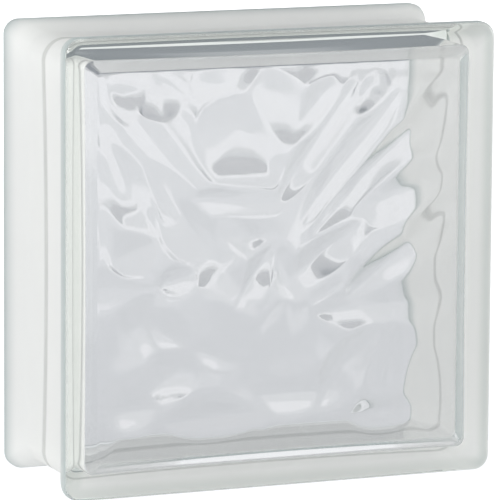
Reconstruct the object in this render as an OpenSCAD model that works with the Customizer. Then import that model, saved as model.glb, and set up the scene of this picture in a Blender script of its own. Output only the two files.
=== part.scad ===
// Hollow glass block: two pressed glass halves fused along a seam at mid depth.
// It stands on its lower lips, with its front face towards -Y.

/* [Block] */
// Width and height of the block
block_w = 190; // [145:1:240]
// Depth from face to face
block_d = 80; // [66:1:100]

/* [Lips] */
// Radius of the four corners of each face
lip_corner_r = 6.5; // [4:0.5:10]
// Radius of the rounded edge round each face
face_edge_r = 3.4; // [2:0.1:4]
// Depth behind the face where the lip starts to slope inward
lip_land = 7.5; // [6:0.5:9]
// Depth behind the face where the slope meets the mortar channel
lip_foot = 20; // [15:0.5:24]

/* [Mortar channel] */
// Depth of the mortar channel at its corners
channel_depth = 4.3; // [3:0.1:6]
// How much deeper the channel is at the middle of each side
channel_bow = 1.2; // [0:0.1:2]
// Radius of the channel's corners
channel_corner_r = 9.5; // [7:0.5:14]
// Size of the small chamfer on each half where they are fused
seam_chamfer = 0.5; // [0.2:0.1:1]

/* [Walls] */
// Thickness of each face plate, without its waves
plate_t = 7.5; // [6:0.1:11]
// Thickness of the side walls at the seam
wall_t = 5.7; // [5:0.1:8]
// Draft of the inner side walls, in degrees
wall_draft = 0.5; // [0:0.5:3]
// Radius between the inner side walls and the face plates
inner_fillet_r = 4; // [3:0.5:7]
// Radius of the cavity's corners
cavity_corner_r = 6; // [5:0.5:10]

/* [Waves] */
// Height of the waves on the inner side of each plate, above and below its mean
wave_h = 1.1; // [0.2:0.1:2]
// Number of waves round the plate's centre
wave_count = 5; // [3:1:8]
// Twist of the waves, in degrees for each millimetre from the centre
wave_twist = 1.7; // [0.5:0.1:3]

/* [Hidden] */

glass_colour = [0.86, 0.92, 0.91];
half_w = block_w / 2;
half_d = block_d / 2;
corner_steps = 5;
side_steps = 10;
edge_steps = 4;
floor_steps = 12;
wave_centre = [4, 11];
wave_fade = 22;
wave_shares = [0.6, 0.4];
flat_share = 0.25;

// Sections of the outside, from the seam to the face:
// [distance from the seam, inset from the lips, corner radius, bow of the sides]
seam_inset = channel_depth + seam_chamfer;
outer_sections = concat(
    [
        [0, seam_inset, channel_corner_r, channel_bow],
        [seam_chamfer, channel_depth, channel_corner_r, channel_bow],
        [half_d - lip_foot, channel_depth, channel_corner_r, channel_bow],
        [half_d - lip_land, 0, lip_corner_r, 0]
    ],
    [for (i = [0 : edge_steps]) let (a = 90 * i / edge_steps)
        [
            half_d - face_edge_r * (1 - sin(a)),
            face_edge_r * (1 - cos(a)),
            lip_corner_r - face_edge_r * (1 - cos(a)),
            0
        ]]
);

// Sections of the cavity, from the seam to the foot of the inner fillet
cavity_inset = channel_depth + wall_t;
fillet_start = half_d - plate_t - inner_fillet_r;
draft_inset = fillet_start * tan(wall_draft);
wall_sections = concat(
    [[0, cavity_inset, cavity_corner_r, channel_bow]],
    [for (i = [0 : edge_steps]) let (a = 90 * i / edge_steps)
        [
            fillet_start + inner_fillet_r * sin(a),
            cavity_inset + draft_inset + inner_fillet_r * (1 - cos(a)),
            cavity_corner_r,
            channel_bow * (1 - i / edge_steps)
        ]]
);

// One corner and the side after it, of a rounded square with sides bowed in
function quarter(h, r, bow) = concat(
    [for (i = [0 : corner_steps]) let (a = 90 * i / corner_steps)
        [h - r + r * cos(a), h - r + r * sin(a)]],
    [for (i = [1 : side_steps - 1]) let (t = 1 - 2 * i / side_steps)
        [(h - r) * t, h - bow * (1 - t * t)]]
);

function turn(p, k) =
    k == 0 ? p :
    k == 1 ? [-p.y, p.x] :
    k == 2 ? [-p.x, -p.y] : [p.y, -p.x];

function ring(h, r, bow) =
    let (q = quarter(h, r, bow)) [for (k = [0 : 3]) for (p = q) turn(p, k)];

// A section as points: x across, y towards the face, z up
function section(s) = [for (p = ring(half_w - s[1], s[2], s[3])) [p.x, -s[0], p.y]];

// Soft waves that fan out from a point above the plate's centre
function wave(x, z) =
    let (
        d = [x, z] - wave_centre,
        r = norm(d),
        a = atan2(d.y, d.x),
        fan = wave_shares[0] * sin(wave_count * a + wave_twist * r)
            + wave_shares[1] * sin((wave_count - 2) * a - wave_twist * r)
    )
    wave_h * fan * min(1, r / wave_fade);

// The plate's inner side: rings that shrink to the centre, smooth at the fillet
last_wall = wall_sections[len(wall_sections) - 1];
function floor_ring(i) =
    let (
        k = 1 - i / floor_steps,
        blend = min(1, (1 - k) / flat_share),
        points = ring((half_w - last_wall[1]) * k, last_wall[2] * k, 0)
    )
    [for (p = points) [p.x, -(half_d - plate_t) + blend * wave(p.x, p.y), p.y]];

ring_size = len(ring(half_w, lip_corner_r, 0));
outer_rings = [for (s = outer_sections) section(s)];
inner_rings = concat(
    [for (s = wall_sections) section(s)],
    [for (i = [1 : floor_steps - 1]) floor_ring(i)]
);
outer_n = len(outer_rings);
inner_n = len(inner_rings);

function flat(rings) = [for (r = rings) for (p = r) p];
function at(row, i) = row * ring_size + i % ring_size;

// Two triangles for each step round the rings row and row2
function band(row, row2) = [for (i = [0 : ring_size - 1]) each [
    [at(row, i), at(row2, i), at(row2, i + 1)],
    [at(row, i), at(row2, i + 1), at(row, i + 1)]
]];

// One pressed half, with its seam on Y = 0 and its face towards -Y
module pressed_half() {
    rows = outer_n + inner_n;
    face_centre = rows * ring_size;
    floor_centre = face_centre + 1;
    points = concat(
        flat(outer_rings), flat(inner_rings),
        [[0, -half_d, 0], [0, -(half_d - plate_t) + wave(0, 0), 0]]
    );
    faces = concat(
        [for (k = [0 : outer_n - 2]) each band(k, k + 1)],
        [for (i = [0 : ring_size - 1])
            [at(outer_n - 1, i + 1), at(outer_n - 1, i), face_centre]],
        band(outer_n, 0),
        [for (k = [outer_n : rows - 2]) each band(k + 1, k)],
        [for (i = [0 : ring_size - 1]) [at(rows - 1, i), at(rows - 1, i + 1), floor_centre]]
    );
    polyhedron(points, faces, convexity = 6);
}

module front_half() {
    color(glass_colour)
        translate([0, 0, half_w])
            pressed_half();
}

// The same pressing, turned about so that the two seams meet
module back_half() {
    color(glass_colour)
        translate([0, 0, half_w])
            rotate([0, 0, 180])
                pressed_half();
}

front_half();
back_half();
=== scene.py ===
from math import cos, exp, log, pi, radians, sin, tan

import bmesh
import bpy
from mathutils import Matrix, Vector


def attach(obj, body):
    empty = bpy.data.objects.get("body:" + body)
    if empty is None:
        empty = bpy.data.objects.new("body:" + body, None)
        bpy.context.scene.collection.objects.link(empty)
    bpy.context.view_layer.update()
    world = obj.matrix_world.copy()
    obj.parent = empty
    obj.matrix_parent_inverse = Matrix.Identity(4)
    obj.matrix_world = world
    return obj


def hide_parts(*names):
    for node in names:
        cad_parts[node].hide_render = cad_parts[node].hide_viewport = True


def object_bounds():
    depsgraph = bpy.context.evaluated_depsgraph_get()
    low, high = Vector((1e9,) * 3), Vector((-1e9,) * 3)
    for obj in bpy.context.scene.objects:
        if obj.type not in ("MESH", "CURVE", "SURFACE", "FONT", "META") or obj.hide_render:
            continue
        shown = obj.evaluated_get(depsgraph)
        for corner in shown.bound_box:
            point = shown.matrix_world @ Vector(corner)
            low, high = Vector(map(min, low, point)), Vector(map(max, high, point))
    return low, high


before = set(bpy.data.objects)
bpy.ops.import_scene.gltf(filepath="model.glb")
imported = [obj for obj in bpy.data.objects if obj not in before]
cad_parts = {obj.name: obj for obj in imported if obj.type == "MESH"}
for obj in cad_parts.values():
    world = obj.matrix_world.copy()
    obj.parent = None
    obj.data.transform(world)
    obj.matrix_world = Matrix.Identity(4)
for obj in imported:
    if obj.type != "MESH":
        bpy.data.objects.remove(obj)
cad_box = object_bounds()
low, high = Vector(cad_box[0]), Vector(cad_box[1])
scene = bpy.context.scene

# Sizes are in millimetres, from here to where a mesh or a node takes them in metres
MM = 0.001
HALF_W = (high.x - low.x) / 2 / MM
HALF_D = (high.y - low.y) / 2 / MM
MIDDLE = Vector((0, 0, low.z + HALF_W * MM))

# The outside of each half
LIP_CORNER_R = 6.5
FACE_EDGE_R = 3.4
LIP_LAND = 7.5
LIP_FOOT = 20.0
CHANNEL_DEPTH = 4.3
CHANNEL_BOW = 1.2
CHANNEL_CORNER_R = 9.5
SEAM_GROOVE = 0.5

# How the lip runs down into the channel: how early it starts, how late it ends, how soft it is
SLOPE_EARLY = 0.6
SLOPE_LATE = 0.9
SLOPE_SOFT = 0.55

# The cavity, with a sloping frame round each plate's relief
PLATE_T = 7.3
WALL_T = 5.2
WALL_DRAFT = radians(0.5)
FRAME_ACROSS = 5.0
FRAME_DEEP = 2.8
FRAME_BOW_SHARE = 0.4
FRAME_CORNER_R = 2.0
CAVITY_CORNER_R = 4.0

# Places up the frame's slope: share of the way across, share of the way up
FRAME_SLOPE = [(0.03, 0.03), (0.1, 0.1), (0.3, 0.3), (0.5, 0.5), (0.7, 0.7),
               (0.88, 0.88), (0.96, 0.93), (1.0, 0.97)]

# How the channel turns into the groove at the seam: distance before the seam, how far in it has gone
SEAM_SLOPE = [(0.7, 0.12), (0.35, 0.3), (0.0, SEAM_GROOVE)]

# How finely the sheets are cut: rings across a face or plate, steps round an edge or down the lip,
# and the share of a side's half that the corner takes
FACE_RINGS = 33
PLATE_RINGS = 71
EDGE_STEPS = 8
LIP_STEPS = 12
SKIN_CORNER_SHARE = 0.25
CAVITY_CORNER_SHARE = 0.12

# Rings that hold a bend in place: before the face's rounded edge, before the seam, and up the walls
# as shares of their run
RINGS_BEFORE_EDGE = (0.8, 0.25, 0.0)
RINGS_BEFORE_SEAM = (14.0, 9.0, 4.0, 2.0, 1.2)
WALL_SHARES = (0.03, 0.2, 0.4, 0.6, 0.8, 1.0)

# Points closer than this, in metres, are one point
WELD = 1e-6


def smooth(t):
    """Goes softly from 0 to 1 as t does."""
    t = max(0.0, min(1.0, t))
    return t * t * (3 - 2 * t)


# ---- shells ---------------------------------------------------------------

def outer_sections():
    """Rings from the middle of the face to the seam: depth from the face, inset, corner radius, bow."""
    rings = []
    for k in range(1, FACE_RINGS + 1):
        share = k / (FACE_RINGS + 1)
        rings.append((0.0, HALF_W - (HALF_W - FACE_EDGE_R) * share, LIP_CORNER_R * share, 0.0))
    for before_edge in RINGS_BEFORE_EDGE:
        rings.append((0.0, FACE_EDGE_R + before_edge, LIP_CORNER_R - FACE_EDGE_R, 0.0))
    for k in range(1, EDGE_STEPS + 1):
        turn = pi / 2 * k / EDGE_STEPS
        inset = FACE_EDGE_R * (1 - sin(turn))
        rings.append((FACE_EDGE_R * (1 - cos(turn)), inset, LIP_CORNER_R - inset, 0.0))
    rings.append((LIP_LAND - 2 * SLOPE_EARLY, 0.0, LIP_CORNER_R, 0.0))
    slope_run = SLOPE_EARLY + LIP_FOOT - LIP_LAND + SLOPE_LATE
    for k in range(LIP_STEPS + 1):
        share = k / LIP_STEPS
        drop = smooth(share) * SLOPE_SOFT + share * (1 - SLOPE_SOFT)
        depth = LIP_LAND - SLOPE_EARLY + slope_run * share
        corner = LIP_CORNER_R + (CHANNEL_CORNER_R - LIP_CORNER_R) * drop
        rings.append((depth, CHANNEL_DEPTH * drop, corner, CHANNEL_BOW * drop))
    for before_seam in RINGS_BEFORE_SEAM:
        rings.append((HALF_D - before_seam, CHANNEL_DEPTH, CHANNEL_CORNER_R, CHANNEL_BOW))
    for before_seam, sink in SEAM_SLOPE:
        rings.append((HALF_D - before_seam, CHANNEL_DEPTH + sink, CHANNEL_CORNER_R, CHANNEL_BOW))
    return rings


def cavity_sections():
    """Rings from the middle of the plate's inner side, up the sloping frame, to the seam."""
    wall_inset = CHANNEL_DEPTH + WALL_T
    wall_run = HALF_D - PLATE_T - FRAME_DEEP
    draft = wall_run * tan(WALL_DRAFT)
    plate_half = HALF_W - wall_inset - draft - FRAME_ACROSS
    rings = []
    for k in range(1, PLATE_RINGS + 1):
        share = k / PLATE_RINGS
        rings.append((PLATE_T, HALF_W - plate_half * share, FRAME_CORNER_R * share, 0.0))
    for share, rise in FRAME_SLOPE:
        corner = FRAME_CORNER_R + (CAVITY_CORNER_R - FRAME_CORNER_R) * share
        rings.append((PLATE_T + FRAME_DEEP * rise, HALF_W - plate_half - FRAME_ACROSS * share, corner,
                      CHANNEL_BOW * FRAME_BOW_SHARE * share))
    for share in WALL_SHARES:
        bow = CHANNEL_BOW * (FRAME_BOW_SHARE + (1 - FRAME_BOW_SHARE) * share)
        rings.append((PLATE_T + FRAME_DEEP + wall_run * share, wall_inset + draft * (1 - share),
                      CAVITY_CORNER_R, bow))
    return rings


def on_section(t, half, radius, bow, corner_share):
    """A point on half a side of a rounded square: t runs from the middle of the side, 0, to the corner, 1."""
    straight = half - radius
    if t <= 1 - corner_share:
        along = straight * t / (1 - corner_share)
        return along, half - bow * (1 - (along / straight) ** 2)
    turn = pi / 4 * (t - 1 + corner_share) / corner_share
    return straight + radius * sin(turn), straight + radius * cos(turn)


def tray(rings, corner_share, relief=None):
    """A sheet of squares folded into a tray, with its floor towards -Y and its rim on the seam."""
    count = len(rings)
    bm = bmesh.new()
    bmesh.ops.create_grid(bm, x_segments=2 * count, y_segments=2 * count, size=count)
    for v in bm.verts:
        u, w = v.co.x, v.co.y
        ring = round(max(abs(u), abs(w)))
        if ring == 0:
            depth, x, z = rings[0][0], 0.0, 0.0
        else:
            depth, inset, radius, bow = rings[ring - 1]
            near, far = on_section(min(abs(u), abs(w)) / ring, HALF_W - inset, radius, bow, corner_share)
            x, z = (far, near) if abs(u) >= abs(w) else (near, far)
            x, z = (x if u >= 0 else -x), (z if w >= 0 else -z)
        if relief:
            depth += relief(x, z, ring)
        v.co = Vector((x, depth - HALF_D, z)) * MM
    return bm


def close_halves(bm):
    """Adds the same tray turned about, and joins the two rims."""
    copy = bmesh.ops.duplicate(bm, geom=bm.verts[:] + bm.edges[:] + bm.faces[:])
    turned = [g for g in copy["geom"] if isinstance(g, bmesh.types.BMVert)]
    bmesh.ops.rotate(bm, verts=turned, cent=(0, 0, 0), matrix=Matrix.Rotation(pi, 3, "Z"))
    bmesh.ops.remove_doubles(bm, verts=bm.verts[:], dist=WELD)
    bmesh.ops.recalc_face_normals(bm, faces=bm.faces[:])


# ---- relief ---------------------------------------------------------------

# Long soft petals that overlap like clouds and fan out from the middle of the plate: across, up,
# turn in degrees, half length, width below the ridge, width above it, height
PETALS = [
    (-15, 52, -55, 23, 19, 8, 1.9), (0, 65, -67, 16, 9, 9, 1.4),
    (16, 64, 51, 16, 11, 6, 1.6), (-21, 25, -5, 19, 7, 5, 1.2),
    (-35, 10, -53, 36, 11, 9, 1.8), (-65, 31, -62, 21, 9, 6, 1.4),
    (-52, 70, -79, 8, 10, 8, 1.1), (-68, 72, 3, 9, 9, 8, 1.2),
    (18, 51, 54, 32, 6, 5, 1.4), (30, 40, 51, 30, 6, 6, 1.5),
    (39, 33, 44, 31, 8, 6, 1.7), (53, 25, 20, 22, 9, 8, 1.5),
    (69, 58, 52, 19, 10, 8, 1.5), (69, 11, 40, 15, 8, 7, 1.4),
    (52, -21, 4, 32, 9, 8, 1.41), (-11, -6, 56, 16, 6, 5, 1.4),
    (2, -6, -67, 13, 5, 6, 1.3), (19, 1, 35, 22, 7, 6, 1.4),
    (45, -7, 38, 20, 7, 6, 1.6), (-20, 10, -2, 18, 6, 10, 1.1),
    (-52, -27, -33, 10, 5, 6, 0.97), (-22, -41, -21, 15, 5, 7, 1.06),
    (-65, 7, 25, 10, 7, 7, 1.2), (-64, -26, 58, 15, 8, 7, 1.06),
    (-45, -6, 18, 8, 5, 5, 1.0), (-49, -47, 35, 12, 8, 8, 1.06),
    (-17, -42, -69, 25, 8, 8, 0.88), (4, -36, 87, 17, 9, 9, 0.97),
    (27, -48, 55, 17, 8, 6, 1.23), (36, -40, 43, 15, 6, 6, 1.14),
    (49, -46, 81, 19, 9, 8, 0.97), (4, -56, 0, 15, 8, 7, 1.14),
    (-66, -59, 5, 10, 8, 8, 1.32), (-29, -64, 3, 18, 7, 7, 0.97),
    (47, -67, 5, 13, 7, 7, 1.06), (67, -59, -74, 15, 9, 9, 0.97),
    (39, 68, 63, 9, 7, 6, 1.1), (-30, 75, -31, 8, 8, 8, 1.1),
]

# The level between the petals, how softly they run together, and the level taken as the plate's own
PETAL_BASE = -0.7
PETAL_BLEND = 0.08
PETAL_MIDDLE = 0.5

# How a petal falls off along its ridge and across it, and how far below the base it stops counting
PETAL_LENGTHWAYS = 2.4
PETAL_CROSSWAYS = 1.35
PETAL_REACH = 0.6

# The relief dies away over this many rings before the frame
RELIEF_FADE_RINGS = 10


def waves(x, z):
    """Height of the soft cloudy relief at a place on the plate."""
    total = exp(PETAL_BASE / PETAL_BLEND)
    for across, up, turn, length, below, above, height in PETALS:
        dx, dz = x - across, z - up
        c, s = cos(radians(turn)), sin(radians(turn))
        u, v = (dx * c + dz * s) / length, dz * c - dx * s
        v = v / above if v > 0 else -v / below
        rise = height * (1 - abs(u) ** PETAL_LENGTHWAYS - v ** PETAL_CROSSWAYS)
        if rise > PETAL_BASE - PETAL_REACH:
            total += exp(rise / PETAL_BLEND)
    return log(total) * PETAL_BLEND - PETAL_MIDDLE


def plate_relief(x, z, ring):
    """How far the plate's inner side is moved towards the cavity, nothing at the frame's foot."""
    return waves(x, z) * smooth((PLATE_RINGS - ring) / RELIEF_FADE_RINGS)


# ---- shader helpers -------------------------------------------------------

def number(tree, operation, a, b=None):
    """Does a sum on sockets or plain numbers."""
    node = tree.nodes.new("ShaderNodeMath")
    node.operation = operation
    for socket, value in zip(node.inputs, (a, b)):
        if isinstance(value, float):
            socket.default_value = value
        elif value is not None:
            tree.links.new(value, socket)
    return node.outputs[0]


def fade(tree, value, start, end):
    """Goes softly from 0 at start to 1 at end."""
    node = tree.nodes.new("ShaderNodeMapRange")
    node.interpolation_type = "SMOOTHSTEP"
    node.inputs["From Min"].default_value = start
    node.inputs["From Max"].default_value = end
    tree.links.new(value, node.inputs["Value"])
    return node.outputs["Result"]


def blend(tree, share, a, b):
    """Mixes two colours, each a socket or a plain colour."""
    node = tree.nodes.new("ShaderNodeMix")
    node.data_type = "RGBA"
    tree.links.new(share, node.inputs["Factor"])
    for name, colour in (("A", a), ("B", b)):
        if isinstance(colour, tuple):
            node.inputs[name].default_value = (*colour, 1)
        else:
            tree.links.new(colour, node.inputs[name])
    return node.outputs["Result"]


def layered(tree, share, under, over):
    """Mixes two shaders."""
    node = tree.nodes.new("ShaderNodeMixShader")
    if isinstance(share, float):
        node.inputs[0].default_value = share
    else:
        tree.links.new(share, node.inputs[0])
    tree.links.new(under, node.inputs[1])
    tree.links.new(over, node.inputs[2])
    return node.outputs[0]


def axes(tree, coordinates):
    """The X, Y and Z of a kind of texture coordinates."""
    place = tree.nodes.new("ShaderNodeTexCoord")
    split = tree.nodes.new("ShaderNodeSeparateXYZ")
    tree.links.new(place.outputs[coordinates], split.inputs[0])
    return split.outputs["X"], split.outputs["Y"], split.outputs["Z"]


def tones(tree, value, stops, interpolation="LINEAR"):
    """Colours along a value, from places and colours in order."""
    node = tree.nodes.new("ShaderNodeValToRGB")
    node.color_ramp.interpolation = interpolation
    elements = node.color_ramp.elements
    for at, _ in stops[1:-1]:
        elements.new(at)
    for stop, (at, tone) in zip(elements, stops):
        stop.position = at
        stop.color = (*tone, 1)
    tree.links.new(value, node.inputs[0])
    return node.outputs[0]


def new_material(name):
    """A material with its node tree and the Principled shader in it."""
    mat = bpy.data.materials.new(name)
    mat.use_nodes = True
    return mat, mat.node_tree, mat.node_tree.nodes["Principled BSDF"]


# ---- coated glass ---------------------------------------------------------

# The clear glass, how the body takes light on its way through, and how dense it is to it
GLASS_CLEAR = (0.97, 0.975, 0.965)
GLASS_BODY = (0.75, 0.78, 0.74)
GLASS_BODY_DENSITY = 8.0
GLASS_IOR = 1.52

# The relief's tint, cooler and darker than the clear glass: part glass colour, part painted shade that dims
# what is seen through the plates; by distance from the seam plane
PLATE_TINT_AND_SHADE = (0.755, 0.76, 0.77)
PLATE_FROM = 26.0
PLATE_FULL = 30.0

# Painted shade: the face's outermost border is darker, by distance from its middle
PAINTED_BORDER_SHADE = (0.6, 0.63, 0.615)
BORDER_FROM = 87.0
BORDER_FULL = 91.0

# The coat: where it starts behind each face, how softly, and how far in the outside reaches
COAT_STARTS = 1.2
COAT_FADE = 2.0
COAT_INSIDE_OF = 85.5
COAT_ROUGHNESS = 0.5
COAT_LETS_THROUGH = 0.6

# Each of the coat's tones has the colour that it sends back and the colour that it lets through:
# the coat itself, the painted shade along the seam groove, and the painted shade, darker and greener, on the
# rim behind the face
COAT_BACK, COAT_THROUGH = (0.96, 0.965, 0.96), (0.96, 0.96, 0.93)
SEAM_SHADE_BACK, SEAM_SHADE_THROUGH = (0.7, 0.71, 0.7), (0.74, 0.74, 0.72)
RIM_SHADE_BACK, RIM_SHADE_THROUGH = (0.57, 0.63, 0.63), (0.57, 0.63, 0.62)
# Painted shade: where the seam shade is full and where it ends, and how far behind the face the rim shade
# fades out, in millimetres
SEAM_CORE = 1.0
SEAM_SHADE = 3.2
RIM_SHADE = 14.0


def glass_shader(tree, glass, depth, reach):
    """Clear glass; in the relief a cooler, darker tint that is part glass colour and part painted shade, and
    painted shade along the face's border.
    """
    glass.inputs["Roughness"].default_value = 0.0
    glass.inputs["IOR"].default_value = GLASS_IOR
    glass.inputs["Transmission Weight"].default_value = 1.0
    plates = fade(tree, depth, PLATE_FROM * MM, PLATE_FULL * MM)
    on_face = number(tree, "GREATER_THAN", depth, (HALF_D - FACE_EDGE_R) * MM)
    # Painted shade: darker glass along the face's outer border
    border = number(tree, "MULTIPLY", fade(tree, reach, BORDER_FROM * MM, BORDER_FULL * MM), on_face)
    # The plates' tint: glass colour and painted shade
    tint = blend(tree, plates, GLASS_CLEAR, PLATE_TINT_AND_SHADE)
    tree.links.new(blend(tree, border, tint, PAINTED_BORDER_SHADE), glass.inputs["Base Color"])
    return glass.outputs[0]


def coat_shader(tree, depth):
    """Satin white paint that glows a little where light comes through it from inside, with painted shade
    along the seam groove and on the rim behind each face.
    """
    # Painted shade: the coat darker along the seam groove
    seam = fade(tree, depth, SEAM_CORE * MM, SEAM_SHADE * MM)
    # Painted shade: the coat darker and greener near each face
    rim = fade(tree, depth, (HALF_D - COAT_STARTS) * MM, (HALF_D - RIM_SHADE) * MM)
    paint = tree.nodes.new("ShaderNodeBsdfPrincipled")
    paint.inputs["Roughness"].default_value = COAT_ROUGHNESS
    back = blend(tree, rim, RIM_SHADE_BACK, blend(tree, seam, SEAM_SHADE_BACK, COAT_BACK))
    tree.links.new(back, paint.inputs["Base Color"])
    glow = tree.nodes.new("ShaderNodeBsdfTranslucent")
    through = blend(tree, rim, RIM_SHADE_THROUGH, blend(tree, seam, SEAM_SHADE_THROUGH, COAT_THROUGH))
    tree.links.new(through, glow.inputs["Color"])
    return layered(tree, COAT_LETS_THROUGH, paint.outputs[0], glow.outputs[0])


def coated_glass():
    """Pressed glass, with the white edge coating where the mortar sits."""
    mat, tree, glass = new_material("coated_glass")
    x, y, z = axes(tree, "Object")
    up_or_down = number(tree, "ABSOLUTE", number(tree, "SUBTRACT", z, MIDDLE.z))
    reach = number(tree, "MAXIMUM", number(tree, "ABSOLUTE", x), up_or_down)
    depth = number(tree, "ABSOLUTE", y)
    outside = number(tree, "GREATER_THAN", reach, COAT_INSIDE_OF * MM)
    coat_full = HALF_D - COAT_STARTS - COAT_FADE
    behind_face = fade(tree, depth, (HALF_D - COAT_STARTS) * MM, coat_full * MM)
    painted = number(tree, "MULTIPLY", outside, behind_face)
    surface = layered(tree, painted, glass_shader(tree, glass, depth, reach), coat_shader(tree, depth))
    body = tree.nodes.new("ShaderNodeVolumeAbsorption")
    body.inputs["Color"].default_value = (*GLASS_BODY, 1)
    body.inputs["Density"].default_value = GLASS_BODY_DENSITY
    output = tree.nodes["Material Output"]
    tree.links.new(surface, output.inputs["Surface"])
    tree.links.new(body.outputs[0], output.inputs["Volume"])
    return mat


# ---- the block ------------------------------------------------------------

def glass_block():
    """The two fused halves: one skin, and the cavity's wall inside it, facing the cavity."""
    skin = tray(outer_sections(), SKIN_CORNER_SHARE)
    close_halves(skin)
    cavity = tray(cavity_sections(), CAVITY_CORNER_SHARE, plate_relief)
    close_halves(cavity)
    bmesh.ops.reverse_faces(cavity, faces=cavity.faces[:])
    inner = bpy.data.meshes.new("cavity")
    cavity.to_mesh(inner)
    cavity.free()
    skin.from_mesh(inner)
    bpy.data.meshes.remove(inner)
    bmesh.ops.translate(skin, verts=skin.verts[:], vec=MIDDLE)
    for face in skin.faces:
        face.smooth = True
    mesh = bpy.data.meshes.new("glass_block")
    skin.to_mesh(mesh)
    skin.free()
    mesh.materials.append(coated_glass())
    piece = bpy.data.objects.new("glass_block", mesh)
    scene.collection.objects.link(piece)
    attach(piece, "root")
    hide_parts("front_half", "back_half")


# ---- studio ---------------------------------------------------------------

# The floor: its size, its dark matt colour, and how strongly it glows, which is painted light
FLOOR_SIZE = 12.0
FLOOR_TONE = (0.15, 0.15, 0.15)
FLOOR_GLOW = 2.0

# The floor's glow, which is painted light, from front to back: darker near the block, brighter in front of it
# and in a band behind it; by share of the way between the two places on Y, in metres
FLOOR_GLOW_FROM = -2.0
FLOOR_GLOW_TO = 6.0
FLOOR_GLOW_TONES = [
    (0.13, (0.7, 0.705, 0.71)), (0.21, (0.475, 0.48, 0.49)), (0.285, (0.475, 0.48, 0.49)),
    (0.3, (0.52, 0.525, 0.533)), (0.35, (0.525, 0.53, 0.537)), (0.375, (0.62, 0.62, 0.625)),
    (0.53, (0.62, 0.62, 0.625)), (0.65, (0.49, 0.495, 0.5)), (1.0, (0.44, 0.45, 0.46)),
]

# The studio's walls by height, from level, 0, to overhead, 1: in front of the block and behind it,
# and where one turns into the other, as the Y of a direction
FRONT_WALL_TONES = [
    (0.0, (1.43, 1.41, 1.39)), (0.45, (1.33, 1.32, 1.3)),
    (0.8, (0.62, 0.63, 0.65)), (1.0, (0.62, 0.63, 0.65)),
]
BACK_WALL_TONES = [
    (0.0, (0.9, 0.91, 0.93)), (0.05, (0.8, 0.82, 0.84)), (0.1, (0.36, 0.39, 0.43)),
    (0.5, (0.36, 0.39, 0.43)), (1.0, (0.62, 0.63, 0.65)),
]
BACK_WALL_FROM = -0.1
BACK_WALL_FULL = 0.5

# Softboxes: name, place and side in metres, watts; all of them are turned to a point in the block
SOFTBOXES = [
    ("left_softbox", (-2.2, -0.2, 0.9), 1.2, 29),
    ("right_softbox", (2.3, 0.1, 0.5), 1.5, 13),
]
SOFTBOX_AIM = Vector((0, 0, 0.1))

# The camera: turn round the block, rise and roll; distance and how far its aim is moved, in metres;
# its lens and sensor in millimetres, and how far it sees in metres
CAMERA_TURN = radians(-22.35)
CAMERA_RISE = radians(9.44)
CAMERA_ROLL = radians(0.37)
CAMERA_DISTANCE = 1.902
AIM_RIGHT = -0.01415
AIM_UP = 0.00426
LENS = 333.3
SENSOR = 36
CLIP_END = 50


def studio_floor():
    """A matt floor that glows, which is painted light: darker near the block, brighter in front of it and in
    a band behind it.
    """
    bm = bmesh.new()
    bmesh.ops.create_grid(bm, x_segments=1, y_segments=1, size=FLOOR_SIZE / 2)
    bmesh.ops.translate(bm, verts=bm.verts[:], vec=(0, 0, low.z))
    mesh = bpy.data.meshes.new("studio_floor")
    bm.to_mesh(mesh)
    bm.free()
    mat, tree, shader = new_material("pale_floor")
    shader.inputs["Base Color"].default_value = (*FLOOR_TONE, 1)
    shader.inputs["Roughness"].default_value = 1.0
    shader.inputs["Specular IOR Level"].default_value = 0.0
    # Painted light: the floor's own glow, in bands along Y
    shader.inputs["Emission Strength"].default_value = FLOOR_GLOW
    along = tree.nodes.new("ShaderNodeMapRange")
    along.inputs["From Min"].default_value = FLOOR_GLOW_FROM
    along.inputs["From Max"].default_value = FLOOR_GLOW_TO
    tree.links.new(axes(tree, "Object")[1], along.inputs["Value"])
    glow = tones(tree, along.outputs["Result"], FLOOR_GLOW_TONES, "EASE")
    tree.links.new(glow, shader.inputs["Emission Color"])
    mesh.materials.append(mat)
    floor = bpy.data.objects.new("studio_floor", mesh)
    scene.collection.objects.link(floor)


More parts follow.
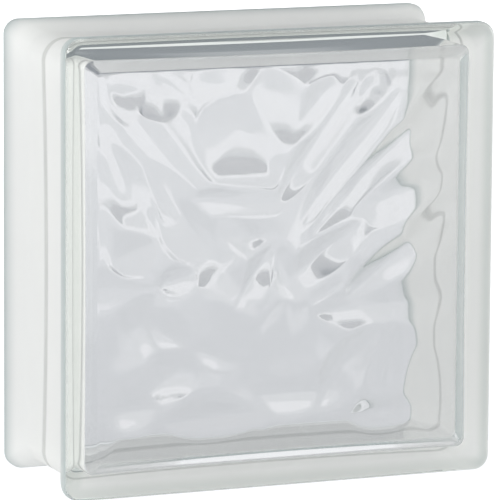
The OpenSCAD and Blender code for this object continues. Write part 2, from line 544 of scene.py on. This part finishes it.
def studio_walls():
    """Bright walls in front of the block, darker ones behind it."""
    scene.world = bpy.data.worlds.new("studio")
    scene.world.use_nodes = True
    tree = scene.world.node_tree
    _, y, z = axes(tree, "Generated")
    behind = fade(tree, y, BACK_WALL_FROM, BACK_WALL_FULL)
    walls = blend(tree, behind, tones(tree, z, FRONT_WALL_TONES), tones(tree, z, BACK_WALL_TONES))
    tree.links.new(walls, tree.nodes["Background"].inputs["Color"])


def softboxes():
    """Soft area lights at both sides."""
    for name, place, side, watts in SOFTBOXES:
        light = bpy.data.lights.new(name, "AREA")
        light.size = side
        light.energy = watts
        box = bpy.data.objects.new(name, light)
        box.location = place
        box.rotation_euler = (SOFTBOX_AIM - Vector(place)).to_track_quat("-Z", "Y").to_euler()
        scene.collection.objects.link(box)


def studio_camera():
    """A long lens that looks at the middle of the front face, from the left and a little above."""
    az, el = CAMERA_TURN, CAMERA_RISE
    back = Vector((sin(az) * cos(el), -cos(az) * cos(el), sin(el)))
    level = (-back).cross(Vector((0, 0, 1))).normalized()
    upright = level.cross(-back)
    right = level * cos(CAMERA_ROLL) + upright * sin(CAMERA_ROLL)
    up = upright * cos(CAMERA_ROLL) - level * sin(CAMERA_ROLL)
    aim = Vector((0, low.y, MIDDLE.z)) + right * AIM_RIGHT + up * AIM_UP
    data = bpy.data.cameras.new("camera")
    data.lens = LENS
    data.sensor_width = SENSOR
    data.clip_end = CLIP_END
    camera = bpy.data.objects.new("camera", data)
    turn = Matrix((right, up, back)).transposed().to_4x4()
    camera.matrix_world = Matrix.Translation(aim + back * CAMERA_DISTANCE) @ turn
    scene.collection.objects.link(camera)
    scene.camera = camera


glass_block()
studio_floor()
studio_walls()
softboxes()
studio_camera()

# Light has to cross many faces of glass, and reach the floor through it
scene.view_settings.view_transform = "Standard"
scene.cycles.max_bounces = 32
scene.cycles.transmission_bounces = 24
scene.cycles.glossy_bounces = 16
scene.cycles.diffuse_bounces = 6
scene.cycles.caustics_reflective = True
scene.cycles.caustics_refractive = True
